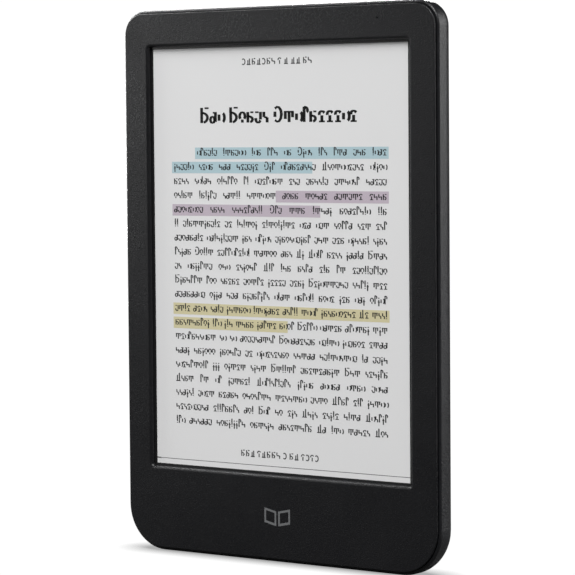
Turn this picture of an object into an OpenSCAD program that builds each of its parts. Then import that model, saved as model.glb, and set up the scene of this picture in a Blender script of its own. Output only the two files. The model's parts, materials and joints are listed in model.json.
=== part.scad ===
// E-reader, standing on its bottom edge with the display facing -Y.
// Every module works in a flat plan frame: x to the right, y up from the
// bottom edge and z from the back (0) to the bezel's face (body_t). The
// module upright() then stands the piece up, with the origin under the middle.

/* [Body] */
// Width across the rear cover
body_w = 112; // [110:0.5:116]
// Height of the rear cover
body_h = 160; // [158:0.5:164]
// Thickness from the back to the bezel's face
body_t = 9.2; // [9.2:0.1:10]
// Plan radius of the two top corners
top_radius = 7.2; // [7:0.1:9]
// Plan radius of the two bottom corners
bottom_radius = 13.2; // [9:0.1:14]
// Radius of the round that runs along the back edges
back_edge = 5; // [4:0.1:5.4]
// Thickness of the rear cover's side walls
side_wall = 1.6; // [1.5:0.1:1.8]
// Thickness of the rear cover's back
back_wall = 1.4; // [1.2:0.1:1.4]

/* [Bezel] */
// Thickness of the bezel's plate
bezel_t = 1.2; // [1.1:0.05:1.2]
// How far the bezel's edge lies inside the rear cover's outline
bezel_inset = 0.95; // [0.9:0.05:1.1]
// How far the bezel stands proud of the rear cover's rim
bezel_proud = 0.8; // [0.6:0.05:0.9]
// Gap between the bezel's edge and the rim
seam = 0.2; // [0.15:0.01:0.25]
// Radius of the round inside the window's edge
window_round = 1; // [0.6:0.05:1]
// Width of the black border at the sides of the picture area
side_border = 0.9; // [0.6:0.05:1.2]
// Width of the black border above and below the picture area
end_border = 0.7; // [0.5:0.05:1]

/* [Display] */
// Width of the picture area, 1072 dots at 300 dots to the inch
picture_w = 90.8; // [90:0.1:91.5]
// Height of the picture area, 1448 dots at 300 dots to the inch
picture_h = 122.6; // [122:0.1:123]
// Height of the picture area's lower edge above the body's bottom edge
chin = 25.93; // [25:0.01:26.5]

/* [Port and button] */
// Width of the charging port's mouth in the rear cover
port_w = 9.5; // [9.4:0.1:10]
// Height of the charging port's mouth in the rear cover
port_h = 3.7; // [3.5:0.05:3.9]
// Radius of the power button's cap
cap_r = 4.5; // [4:0.1:4.8]
// How far the power button travels
cap_travel = 0.3; // [0.2:0.05:0.3]
// Distance of the power button from the middle of the back
button_x = 41; // [38:0.5:42]
// Height of the power button above the bottom edge
button_y = 17; // [17:0.5:18]

/* [Battery] */
// Width of the battery cell
cell_w = 64; // [50:1:66]
// Height of the battery cell
cell_h = 82; // [60:1:84]
// Thickness of the battery cell
cell_t = 3.1; // [2.6:0.1:3.2]

/* [Hidden] */
$fn = 96;
eps = 0.01;

// Levels above the back, counted down from the bezel's face
gasket_t = 0.15;
mask_t = 0.05;
film_t = 0.3;
guide_t = 0.5;
paper_t = 0.3;
glass_t = 0.5;
foam_t = 0.2;
frame_t = 1;
bezel_z = body_t - bezel_t;
gasket_z = bezel_z - gasket_t;
mask_z = gasket_z - mask_t;
film_z = mask_z - film_t;
guide_z = film_z - guide_t;
paper_z = guide_z - paper_t;
glass_z = paper_z - glass_t;
foam_z = glass_z - foam_t;
frame_z = foam_z - frame_t;
board_t = 0.8;
board_z = frame_z - 2 * board_t;
port_z = frame_z - 0.4;
rim_z = body_t - bezel_proud;
seat_z = bezel_z - 0.04;

// Plan sizes
cavity_w = body_w - 2 * side_wall;
window_w = picture_w + 2 * side_border;
window_h = picture_h + 2 * end_border;
window_y = chin - end_border;
window_corner = 0.6;
glass_w = 101.8;
glass_h = 138.4;
glass_y = chin - 11.93;
board_w = 94;
board_h = 31;
board_y = 15;
tab_w = 18;
tab_y = 3;
status_x = 36;
status_y = body_h - 4.6;
emblem_y = body_h - 146.9;
emblem_t = 0.06;
cell_y = 52;
skirt_h = 1.4;
skirt_t = 0.9;
skirt_gap = 0.15;
seal_w = 10.4;
seal_h = 4.5;

// Screw places: along the sides, then at the top and the bottom
screw_x = body_w / 2 - 3.4;
case_screw_places = concat(
    [for (s = [-1, 1], y = [20, 84, body_h - 15]) [s * screw_x, y]],
    [for (s = [-1, 1], y = [5, body_h - 4.5]) [s * 27, y]]
);
board_screw_places = [for (x = [-44, -24, 44]) [x, board_y + board_h - 3.4]];

// Snap hooks: along each side, then along the top and the bottom
snap_side_y = [40, 64, 108, 130];
snap_end_x = [-16, 16];
snap_length = 8;

// Sockets for the flat cables: middle, width and cable width
socket_y = 16;
socket_depth = 4;
socket_h = 1;
display_socket_x = -28;
display_socket_w = 22;
touch_socket_x = 17;
touch_socket_w = 7;
light_socket_x = 28.5;
light_socket_w = 5.4;
latch_axis_y = socket_y + 3.55;
latch_axis_z = board_z - 0.65;
latch_reach = 1;
latch_r = 0.25;
latch_pin_r = 0.18;
latch_pin_gap = 0.03;
ear = 0.8;
flex_t = 0.15;
flex_z = board_z - 0.62;

// Charging port: steel shell with its inside, and the plug's side of the board
shell_w = 8.94;
shell_h = 3.16;
shell_t = 0.3;
shell_y = 0.9;
shell_depth = 7.3;

// Power button and its switch
dish_r = 41;
dish_depth = 0.6;
cap_top = 0.35;
cap_dish_r = 20;
cap_dish_depth = 0.15;
flange_z = back_wall + 0.25;
flange_t = 0.5;
flange_reach = 1.1;
switch_w = 3.6;
switch_t = 0.55;
plunger_r = 0.8;
plunger_out = cap_travel + 0.05;

// Battery: rear level of the cell, and the leads' places, level and radius
battery_z = frame_z - 0.15 - cell_t;
lead_places = [21.4, 23, 24.6];
lead_z = board_z - 0.6;
lead_r = 0.35;

// Shield over the processor: middle, size and sheet
shield_x = -3;
shield_y = 32;
shield_w = 30;
shield_h = 19;
shield_t = 0.15;
shield_out = 1.55;

// Margin of the gasket and of the printed border beyond the window
ring_margin = 2.2;

// Stands a piece of the plan frame up
module upright() {
    translate([0, body_t / 2, 0]) rotate([90, 0, 0]) children();
}

// ---- Shared shapes ----

// Rounded outline, foot and head being its lower and upper corner radii
module outline(w, h, foot, head) {
    translate([-w / 2, foot]) square([w, h - foot - head]);
    translate([foot - w / 2, 0]) square([w - 2 * foot, h / 2]);
    translate([head - w / 2, h / 2]) square([w - 2 * head, h / 2]);
    for (s = [-1, 1]) {
        translate([s * (w / 2 - foot), foot]) circle(foot);
        translate([s * (w / 2 - head), h - head]) circle(head);
    }
}

// The rear cover's outline, moved in by inset
module body_outline(inset) {
    translate([0, inset]) outline(body_w - 2 * inset, body_h - 2 * inset,
        bottom_radius - inset, top_radius - inset);
}

// Section of a slab whose lower corners are rounded by low, upper ones by high
module slab_section(length, thick, low, high) {
    intersection() {
        translate([-length / 2, 0]) square([length, thick]);
        union() {
            translate([-length / 2, low]) square([length, thick - low - high]);
            translate([low - length / 2, 0]) square([length - 2 * low, thick / 2]);
            translate([high - length / 2, thick / 2]) square([length - 2 * high, thick / 2]);
            if (low > 0) for (s = [-1, 1]) translate([s * (length / 2 - low), low]) circle(low);
            if (high > 0) for (s = [-1, 1]) translate([s * (length / 2 - high), thick - high]) circle(high);
        }
    }
}

// One round corner of a slab
module slab_corner(r, thick, low, high) {
    rotate_extrude() intersection() {
        slab_section(2 * r, thick, low, high);
        square([r, thick]);
    }
}

// Slab with the outline of the body moved in by inset, and rounded edges
module slab(inset, thick, low, high) {
    w = body_w - 2 * inset;
    h = body_h - 2 * inset;
    foot = bottom_radius - inset;
    head = top_radius - inset;
    translate([0, inset, 0]) {
        for (s = [-1, 1]) {
            translate([s * (w / 2 - foot), foot, 0]) slab_corner(foot, thick, low, high);
            translate([s * (w / 2 - head), h - head, 0]) slab_corner(head, thick, low, high);
        }
        translate([0, (foot + h - head) / 2, 0]) rotate([90, 0, 0])
            linear_extrude(h - foot - head, center = true) slab_section(w, thick, low, high);
        translate([0, h / 2, 0]) rotate([90, 0, 90])
            linear_extrude(w - 2 * max(foot, head), center = true) slab_section(h, thick, low, high);
        translate([0, 3 * h / 4, 0]) rotate([90, 0, 90])
            linear_extrude(w - 2 * head, center = true) slab_section(h / 2, thick, low, high);
    }
}

// Flat sheet with slightly rounded corners
module sheet(w, h, thick, corner = 1) {
    linear_extrude(thick) outline(w, h, corner, corner);
}

// Outline with full round ends
module stadium(w, h) {
    square([w - h, h], center = true);
    for (s = [-1, 1]) translate([s * (w - h) / 2, 0]) circle(h / 2);
}

// Stadium standing in the wall: runs along y from y0 for length
module port_bar(w, h, y0, length) {
    translate([0, y0 + length, port_z]) rotate([90, 0, 0]) linear_extrude(length) stadium(w, h);
}

// Block lying on the board's rear face, thick towards the back
module rear_part(x, y, w, h, thick) {
    translate([x - w / 2, y - h / 2, board_z - thick]) cube([w, h, thick]);
}

// ---- Casing ----

// The curved step that is cut away along the window's edge
module round_cut() {
    difference() {
        translate([-0.2, -window_round]) square([window_round + 0.2, window_round + 0.2]);
        translate([window_round, -window_round]) circle(window_round);
        translate([window_round - eps, -window_round]) square([1, window_round]);
    }
}

// The window with its rounded edge, ready to be cut out of the plate
module window_cut() {
    run_w = window_w - 2 * window_corner;
    run_h = window_h - 2 * window_corner;
    translate([0, window_y, bezel_z - 1]) linear_extrude(bezel_t + 2)
        outline(window_w, window_h, window_corner, window_corner);
    translate([0, window_y + window_h / 2, body_t]) {
        for (a = [0, 180]) {
            rotate([0, 0, a]) translate([window_w / 2, 0, 0]) rotate([90, 0, 0])
                linear_extrude(run_h, center = true) round_cut();
            rotate([0, 0, a]) translate([0, window_h / 2, 0]) rotate([90, 0, 90])
                linear_extrude(run_w, center = true) round_cut();
            rotate([0, 0, a]) translate([run_w / 2, run_h / 2, 0]) rotate_extrude(angle = 90)
                translate([window_corner, 0]) round_cut();
            rotate([0, 0, a]) translate([-run_w / 2, run_h / 2, 0]) rotate([0, 0, 90])
                rotate_extrude(angle = 90) translate([window_corner, 0]) round_cut();
        }
    }
}

// Hooks on the bezel's skirt, or the wider pockets for them in the rear cover
module snaps(reach, grow) {
    root = 0.3;
    thick = 0.6;
    z = bezel_z - skirt_h + 0.3;
    x = cavity_w / 2 - skirt_gap - root;
    for (s = [-1, 1], y = snap_side_y)
        translate([s > 0 ? x : -x - root - reach, y - snap_length / 2 - grow, z - grow])
            cube([root + reach, snap_length + 2 * grow, thick + 2 * grow]);
    for (x0 = snap_end_x) {
        translate([x0 - snap_length / 2 - grow, side_wall + skirt_gap - reach, z - grow])
            cube([snap_length + 2 * grow, root + reach, thick + 2 * grow]);
        translate([x0 - snap_length / 2 - grow, body_h - side_wall - skirt_gap - root, z - grow])
            cube([snap_length + 2 * grow, root + reach, thick + 2 * grow]);
    }
}

// Bezel: the front plate with its window, skirt and snap hooks. The skirt is
// cut away above the charging port's seal.
module front_bezel() {
    skirt_inset = side_wall + skirt_gap;
    color("#26272a") upright() difference() {
        union() {
            translate([0, 0, bezel_z]) slab(bezel_inset, bezel_t, 0, 0.25);
            translate([0, 0, bezel_z - skirt_h]) linear_extrude(skirt_h + 0.2) difference() {
                body_outline(skirt_inset);
                body_outline(skirt_inset + skirt_t);
            }
            snaps(0.4, 0);
        }
        window_cut();
        translate([status_x, status_y, bezel_z - 1]) cylinder(r = 0.36, h = bezel_t + 2);
        emblem_shape(body_t - emblem_t, 1);
        port_bar(seal_w + 3, seal_h + 0.8, 0, 5);
    }
}

// Open book: two leaning pages either side of a narrow gap
module emblem_outline() {
    for (s = [-1, 1]) scale([s, 1]) difference() {
        polygon([[0.35, -2.6], [4.6, -1.7], [4.6, 2.6], [0.35, 1.7]]);
        polygon([[0.95, -1.8], [4, -1.15], [4, 1.85], [0.95, 1.2]]);
    }
}

module emblem_shape(z, thick) {
    translate([0, emblem_y, z]) linear_extrude(thick) emblem_outline();
}

// Printed mark on the chin, level with the bezel's face
module emblem() {
    color("#6f7072") upright() emblem_shape(body_t - emblem_t, emblem_t);
}

// Clear pin that carries the status light through the bezel
module light_pipe() {
    color("#8a9099") upright() translate([status_x, status_y, 0]) {
        translate([0, 0, frame_z + 0.75]) cylinder(r = 0.3, h = body_t - frame_z - 0.85);
        translate([0, 0, bezel_z - 0.55]) cylinder(r = 0.9, h = 0.5);
    }
}

// Screw posts standing on the rear cover's inside
module posts() {
    for (p = case_screw_places)
        translate([p[0], p[1], back_wall - 0.6]) cylinder(r = 1.6, h = frame_z - back_wall + 0.6);
}

// Low ribs round the battery and across the top of the rear cover
module ribs() {
    rib_t = 0.8;
    rib_h = 1.5;
    x = cell_w / 2 + 0.6;
    for (s = [-1, 1])
        translate([s > 0 ? x : -x - rib_t, cell_y + 4, back_wall - 0.2]) cube([rib_t, cell_h - 8, rib_h]);
    for (y = [cell_y + cell_h + 1.4, cell_y + cell_h + 8])
        translate([-x, y, back_wall - 0.2]) cube([2 * x, rib_t, rib_h]);
    for (k = [-2 : 2])
        translate([k * 14 - rib_t / 2, cell_y + cell_h + 1.4, back_wall - 0.2]) cube([rib_t, 7, rib_h]);
}

// Rear cover: back, sides and rim in one shell, with posts, ribs and pockets
module rear_cover() {
    color("#2b2c2f") upright() difference() {
        union() {
            difference() {
                slab(0, rim_z, back_edge, 0.75);
                translate([0, 0, back_wall]) slab(side_wall, body_t, back_edge - side_wall, 0);
                translate([0, 0, seat_z]) linear_extrude(body_t) body_outline(bezel_inset - seam);
            }
            intersection() {
                union() {
                    posts();
                    ribs();
                }
                slab(0.4, rim_z, back_edge, 0);
            }
        }
        for (p = case_screw_places)
            translate([p[0], p[1], back_wall + 0.4]) cylinder(r = 0.72, h = body_t);
        snaps(0.6, 0.2);
        port_bar(port_w, port_h, -1, 4);
        port_bar(seal_w + 0.2, seal_h + 0.2, side_wall, 3);
        translate([button_x, button_y, dish_depth - dish_r]) sphere(r = dish_r, $fn = 180);
        translate([button_x, button_y, -1]) cylinder(r = cap_r + 0.15, h = back_wall + 2);
    }
}

// ---- Display, from the window backwards ----

// Frame-shaped sheet round the window: inner and outer margins beyond the window
module window_ring(inner, outer, z, thick) {
    translate([0, 0, z]) linear_extrude(thick) difference() {
        translate([0, window_y - outer]) outline(window_w + 2 * outer, window_h + 2 * outer, 1, 1);
        translate([0, window_y - inner])
            outline(window_w + 2 * inner, window_h + 2 * inner, 0.5, 0.5);
    }
}

// Foam gasket between the bezel and the display
module window_gasket() {
    color("#101112") upright() window_ring(0.3, ring_margin, gasket_z, gasket_t);
}

// Black border printed round the picture area
module border_mask() {
    color("#0b0b0c") upright() translate([0, 0, mask_z]) linear_extrude(mask_t) difference() {
        translate([0, window_y - ring_margin])
            outline(window_w + 2 * ring_margin, window_h + 2 * ring_margin, 1, 1);
        translate([0, chin]) outline(picture_w, picture_h, 0.15, 0.15);
    }
}

// Touch film, the display's matt outer face
module cover_film() {
    color("#e3e4e2") upright() translate([0, chin - 6.9, film_z]) sheet(101, 133.4, film_t);
}

// Light guide of the front light
module light_guide() {
    color("#eef2f4") upright() translate([0, chin - 5.9, guide_z]) sheet(99, 131.5, guide_t);
}

// Flexible strip with the front light's lamps along the guide's lower edge
module light_bar() {
    color("#f3e9a8") upright() {
        translate([-46, chin - 8.8, paper_z]) cube([92, 2.7, 0.1]);
        for (k = [-4 : 4])
            translate([k * 10.6 - 1.5, chin - 7.2, paper_z + 0.1]) cube([3, 1, 0.5]);
    }
}

// Electronic paper laminate
module epaper_film() {
    color("#d9dad7") upright() translate([0, chin - 1.4, paper_z]) sheet(93.2, 125.4, paper_t, 0.5);
}

// Glass backplane
module display_backplane() {
    color("#4d5a52") upright() translate([0, glass_y, glass_z]) sheet(glass_w, glass_h, glass_t, 0.5);
}

// Foam tape under the backplane
module backplane_foam() {
    color("#1b1b1d") upright() translate([0, glass_y + 4, foam_z]) sheet(96, 130, foam_t, 2);
}

// Chassis plate that carries the display in front and the electronics behind
module midframe() {
    wall = 0.7;
    wall_h = 1;
    color("#3a3d42") upright() difference() {
        union() {
            translate([0, 0, frame_z]) linear_extrude(frame_t) body_outline(side_wall + 0.4);
            translate([0, glass_y - 0.3, foam_z - eps]) linear_extrude(wall_h + eps) difference() {
                translate([0, -wall]) outline(glass_w + 0.6 + 2 * wall, glass_h + 0.6 + 2 * wall, 1, 1);
                outline(glass_w + 0.6, glass_h + 0.6, 0.6, 0.6);
            }
            for (p = board_screw_places)
                translate([p[0], p[1], board_z + board_t]) cylinder(r = 1.9, h = board_t + 0.2);
        }
        for (p = case_screw_places) {
            translate([p[0], p[1], frame_z - 1]) cylinder(r = 0.85, h = 3);
            translate([p[0], p[1], frame_z + 0.4]) cylinder(r = 1.55, h = 3);
        }
        for (p = board_screw_places)
            translate([p[0], p[1], frame_z - 1]) cylinder(r = 0.62, h = 3);
        cable_slot(display_socket_x, display_socket_w);
        cable_slot(touch_socket_x, touch_socket_w);
        cable_slot(light_socket_x, light_socket_w);
        translate([-6.5, 0, frame_z - 1]) cube([13, 10, 3]);
        translate([status_x, status_y, frame_z - 1]) cylinder(r = 1.4, h = 3);
    }
}

// Slot in the midframe through which a flat cable turns back to the board
module cable_slot(x, w) {
    translate([x - w / 2 - 0.6, 6.6, frame_z - 1]) cube([w + 1.2, glass_y - 6.4, 4]);
}

// ---- Flat cables and their sockets ----

// Flat cable: from the display it runs down, turns back and enters its socket
module flat_cable(x, w, z_start, y_start) {
    turn_y = 9.6;
    turn_r = (z_start + flex_t - flex_z) / 2;
    translate([x - w / 2, 0, 0]) rotate([90, 0, 90]) linear_extrude(w) {
        translate([turn_y, z_start]) square([y_start - turn_y, flex_t]);
        translate([turn_y, flex_z]) square([socket_y + 1.8 - turn_y, flex_t]);
        translate([turn_y, flex_z + turn_r]) intersection() {
            difference() {
                circle(turn_r);
                circle(turn_r - flex_t);
            }
            translate([-turn_r - 1, -turn_r - 1]) square([turn_r + 1 + eps, 2 * turn_r + 2]);
        }
    }
}

module display_flex() {
    color("#b8752e") upright()
        flat_cable(display_socket_x, display_socket_w - 3, paper_z, chin - 9);
}

module touch_flex() {
    color("#c07f35") upright()
        flat_cable(touch_socket_x, touch_socket_w - 3, film_z - flex_t, chin - 5.95);
}

module light_flex() {
    color("#c9893f") upright()
        flat_cable(light_socket_x, light_socket_w - 3, paper_z, chin - 8.85);
}

// Socket on the board's rear face with ears that hold the latch's pins
module flat_socket(x, w) {
    y1 = latch_axis_y - latch_reach - 0.15;
    notch_h = socket_h - 0.3;
    translate([x - w / 2, 0, 0]) difference() {
        translate([0, socket_y, board_z - socket_h]) cube([w, socket_depth, socket_h]);
        translate([ear, y1, board_z - socket_h - 1])
            cube([w - 2 * ear, socket_depth, 1 + notch_h]);
        translate([-1, latch_axis_y, latch_axis_z]) rotate([0, 90, 0])
            cylinder(r = latch_pin_r + latch_pin_gap, h = w + 2);
        translate([1.3, socket_y - 1, flex_z - 0.04]) cube([w - 2.6, 3, flex_t + 0.08]);
    }
}

// Flip latch, closed, with a pin at each end
module flip_latch(x, w) {
    bar_w = w - 2 * ear - 0.2;
    translate([x, latch_axis_y, latch_axis_z]) {
        translate([-bar_w / 2, -latch_reach, -latch_r]) cube([bar_w, latch_reach, 2 * latch_r]);
        rotate([0, 90, 0]) cylinder(r = latch_r, h = bar_w, center = true);
        rotate([0, 90, 0]) cylinder(r = latch_pin_r, h = w - 0.1, center = true);
    }
}

module display_socket() {
    color("#e7e2d3") upright() flat_socket(display_socket_x, display_socket_w);
}

module display_latch() {
    color("#3b2f29") upright() flip_latch(display_socket_x, display_socket_w);
}

module touch_socket() {
    color("#e7e2d3") upright() flat_socket(touch_socket_x, touch_socket_w);
}

module touch_latch() {
    color("#3b2f29") upright() flip_latch(touch_socket_x, touch_socket_w);
}

module light_socket() {
    color("#e7e2d3") upright() flat_socket(light_socket_x, light_socket_w);
}

module light_latch() {
    color("#3b2f29") upright() flip_latch(light_socket_x, light_socket_w);
}

// ---- Main board and what is soldered to it ----

// Board with a tab for the charging port and cut-outs for screws
module main_board() {
    color("#1f5a3c") upright() translate([0, 0, board_z]) linear_extrude(board_t) difference() {
        union() {
            translate([-board_w / 2, board_y]) square([board_w, board_h]);
            translate([-tab_w / 2, tab_y]) square([tab_w, board_y - tab_y + 1]);
        }
        translate([-4.8, 0]) square([9.6, 8.8]);
        for (p = board_screw_places) translate(p) circle(0.9);
    }
}

// Pressed shield over the processor and the memory
module shield_can() {
    color("#c3c6c8") upright() difference() {
        rear_part(shield_x, shield_y, shield_w, shield_h, shield_out);
        rear_part(shield_x, shield_y, shield_w - 0.4, shield_h - 0.4, shield_out - shield_t);
        for (i = [-3 : 3], k = [-1 : 1])
            translate([shield_x + i * 3.8, shield_y + k * 5, board_z - 3]) cylinder(r = 0.6, h = 2.2);
    }
}

module processor() {
    color("#202326") upright() rear_part(shield_x - 6, shield_y, 12, 12, 1);
}

module memory_chip() {
    color("#1d1f22") upright() {
        rear_part(shield_x + 8, shield_y + 4, 11, 8, 0.9);
        rear_part(shield_x + 8, shield_y - 5, 9, 7, 0.9);
    }
}

module power_chip() {
    color("#232629") upright() rear_part(-27, 28, 6, 6, 0.8);
}

// Driver chip of the display's supply
module panel_chip() {
    color("#26292c") upright() rear_part(-38, 30, 6, 6, 0.8);
}

module coils() {
    color("#55585b") upright() for (x = [-43, -33.5, -22.5])
        translate([x, 35.5, board_z - 1.2]) cylinder(r = 1.7, h = 1.2);
}

// Small capacitors in two rows and beside the shield
module capacitors() {
    color("#b59a72") upright() {
        for (i = [0 : 10]) rear_part(-44 + i * 2.4, 23.4, 0.6, 1.1, 0.5);
        for (i = [0 : 6]) rear_part(20.5, 24.5 + i * 2, 1.1, 0.6, 0.5);
    }
}

module wireless_module() {
    color("#aeb3b6") upright() rear_part(31, 34, 12, 10, 1.3);
}

// Printed antenna on the midframe's rear face
module antenna() {
    color("#a9793a") upright() translate([14, 146, frame_z - 0.12]) sheet(30, 7, 0.1, 0.5);
}

// Coaxial lead from the wireless module up to the antenna
module antenna_cable() {
    r = 0.4;
    x = 36.2;
    z = frame_z - 0.9;
    z_low = board_z - 0.8;
    y_low = 42.5;
    y_bend = y_low + 5;
    y_high = 149.5;
    x_end = 24;
    color("#2c2c2e") upright() {
        translate([x, y_low, z_low]) cylinder(r = 0.9, h = 0.75);
        translate([x, y_low, z_low]) rotate([-90, 0, 0]) cylinder(r = r, h = y_bend - y_low);
        translate([x, y_bend, z_low]) sphere(r);
        translate([x, y_bend, z_low]) cylinder(r = r, h = z - z_low);
        translate([x, y_bend, z]) sphere(r);
        translate([x, y_bend, z]) rotate([-90, 0, 0]) cylinder(r = r, h = y_high - y_bend);
        translate([x, y_high, z]) sphere(r);
        translate([x_end, y_high, z]) rotate([0, 90, 0]) cylinder(r = r, h = x - x_end);
        translate([x_end, y_high, z]) sphere(r);
        translate([x_end, y_high, z]) cylinder(r = r, h = 0.7);
    }
}

// Magnet sensor that wakes the reader when a cover opens
module hall_sensor() {
    color("#242628") upright() rear_part(44.5, 33, 2.9, 1.6, 1);
}

// Small board behind the status light
module status_board() {
    color("#1f5a3c") upright() translate([status_x - 4, status_y - 2, frame_z - 0.65]) cube([8, 4, 0.6]);
}

module status_led() {
    color("#f2f0e6") upright() translate([status_x - 0.5, status_y - 0.5, frame_z - 0.05]) cube([1, 1, 0.5]);
}

// Flat lead from the status board down to the main board
module status_flex() {
    color("#b8752e") upright() translate([39.2, 41.5, frame_z - 0.8]) cube([2, 114.5, 0.12]);
}

module status_socket() {
    z = board_z + board_t;
    color("#e7e2d3") upright() difference() {
        translate([38.4, 40, z]) cube([3.6, 3.4, 0.75]);
        translate([39.1, 41.4, z - 0.05]) cube([2.2, 3, 0.3]);
    }
}

// ---- Charging port ----

// Drawn steel shell of the port, closed at its inner end, with solder wings
module port_shell() {
    color("#b9bcbf") upright() difference() {
        union() {
            port_bar(shell_w, shell_h, shell_y, shell_depth);
            for (s = [-1, 1])
                translate([s > 0 ? 4 : -6.6, 3.6, board_z + board_t]) cube([2.6, 4, 0.3]);
        }
        port_bar(shell_w - 2 * shell_t, shell_h - 2 * shell_t, shell_y - 0.5, shell_depth);
    }
}

// Contact tongue inside the port
module port_tongue() {
    color("#17181a") upright() {
        translate([-3.3, 2.2, port_z - 0.35]) cube([6.6, 4.6, 0.7]);
        port_bar(shell_w - 0.64, shell_h - 0.66, 6.7, 0.95);
    }
}

// Soft ring between the port's shell and the rear cover
module port_seal() {
    color("#5b5d60") upright() difference() {
        port_bar(seal_w, seal_h, side_wall + 0.02, 0.8);
        port_bar(shell_w + 0.06, shell_h + 0.06, side_wall - 1, 3);
    }
}

// ---- Power button ----

module switch_body() {
    color("#c9ccce") upright() difference() {
        rear_part(button_x, button_y + 0.4, switch_w, switch_w, switch_t);
        translate([button_x, button_y, board_z - 2]) cylinder(r = plunger_r + 0.1, h = 1.95);
    }
}

module switch_plunger() {
    color("#1c1d1f") upright() translate([button_x, button_y, board_z - switch_t - plunger_out])
        cylinder(r = plunger_r, h = plunger_out + 0.15);
}

// Cap with a flange inside the wall and a post that meets the switch
module power_button() {
    post_z = board_z - switch_t - plunger_out - 0.02;
    color("#232427") upright() translate([button_x, button_y, 0]) difference() {
        union() {
            translate([0, 0, cap_top]) cylinder(r = cap_r, h = flange_z - cap_top + 0.1);
            translate([0, 0, flange_z]) cylinder(r = cap_r + flange_reach, h = flange_t);
            translate([0, 0, flange_z]) cylinder(r = 1, h = post_z - flange_z);
        }
        translate([0, 0, cap_top + cap_dish_depth - cap_dish_r]) sphere(r = cap_dish_r, $fn = 180);
    }
}

// Foam ring between the rear cover and the button's flange
module button_seal() {
    color("#34363a") upright() translate([button_x, button_y, back_wall]) difference() {
        cylinder(r = cap_r + flange_reach, h = 0.18);
        translate([0, 0, -1]) cylinder(r = cap_r + 0.3, h = 3);
    }
}

// ---- Battery ----

module battery_cell() {
    color("#8f9499") upright() translate([0, cell_y, battery_z]) sheet(cell_w, cell_h, cell_t, 1.5);
}

// Strips of stretch-release tape that hold the cell to the midframe
module battery_tape() {
    color("#e9e9e4") upright() for (s = [-1, 1])
        translate([s * cell_w / 4 - 6, cell_y + 6, battery_z + cell_t]) cube([12, cell_h - 12, 0.13]);
}

// Protection board along the cell's lower edge
module battery_board() {
    color("#2c6b48") upright() translate([-4, cell_y - 2.3, battery_z + 1.2]) cube([32, 2.1, 0.8]);
}

// Three leads from the protection board to the plug
module battery_leads() {
    color("#b3261e") upright() for (x = lead_places) {
        translate([x, cell_y - 4, lead_z]) rotate([90, 0, 0]) cylinder(r = lead_r, h = 1.9);
        translate([x, cell_y - 4, lead_z]) sphere(lead_r);
        translate([x, cell_y - 4, lead_z]) rotate([-90, 0, 0]) cylinder(r = lead_r, h = 1.6);
    }
}

module battery_plug() {
    color("#f1efe8") upright() translate([20.2, 44.2, board_z - 1.1]) cube([5.6, 1.8, 0.9]);
}

module battery_socket() {
    color("#f6f4ee") upright() difference() {
        rear_part(23, 43.8, 7.2, 4.4, 1.2);
        translate([20.1, 44.1, board_z - 1.3]) cube([5.8, 3, 1.15]);
    }
}

// ---- Fasteners ----

// Pan head with a cross recess, shank pointing to the back from z
module screw(head_r, head_h, shank_r, length) {
    difference() {
        cylinder(r = head_r, h = head_h);
        translate([0, 0, head_h / 2]) for (a = [0, 90])
            rotate([0, 0, a]) translate([-head_r * 0.6, -0.12, 0]) cube([head_r * 1.2, 0.24, head_h]);
    }
    translate([0, 0, -length]) cylinder(r = shank_r, h = length + head_h / 4);
}

// Screws that hold the midframe to the rear cover's posts
module case_screws() {
    color("#8d9195") upright() for (p = case_screw_places)
        translate([p[0], p[1], frame_z + 0.42]) screw(1.35, 0.5, 0.7, 3);
}

// Screws that hold the board to the midframe, driven from behind
module board_screws() {
    color("#8d9195") upright() for (p = board_screw_places)
        translate([p[0], p[1], board_z - 0.02]) rotate([180, 0, 0]) screw(1.5, 0.5, 0.6, 2.2);
}

front_bezel();
rear_cover();
emblem();
light_pipe();
window_gasket();
border_mask();
cover_film();
light_guide();
light_bar();
epaper_film();
display_backplane();
backplane_foam();
midframe();
display_flex();
touch_flex();
light_flex();
display_socket();
display_latch();
touch_socket();
touch_latch();
light_socket();
light_latch();
main_board();
shield_can();
processor();
memory_chip();
power_chip();
panel_chip();
coils();
capacitors();
wireless_module();
antenna();
antenna_cable();
hall_sensor();
status_board();
status_led();
status_flex();
status_socket();
port_shell();
port_tongue();
port_seal();
switch_body();
switch_plunger();
power_button();
button_seal();
battery_cell();
battery_tape();
battery_board();
battery_leads();
battery_plug();
battery_socket();
case_screws();
board_screws();
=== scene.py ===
import json
import math
import random
from collections import namedtuple

import bmesh
import bpy
from bpy.props import (
    FloatProperty,
    FloatVectorProperty,
    IntProperty,
    PointerProperty,
)
from bpy.types import Operator, Panel, PropertyGroup
from mathutils import Matrix, Vector


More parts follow.
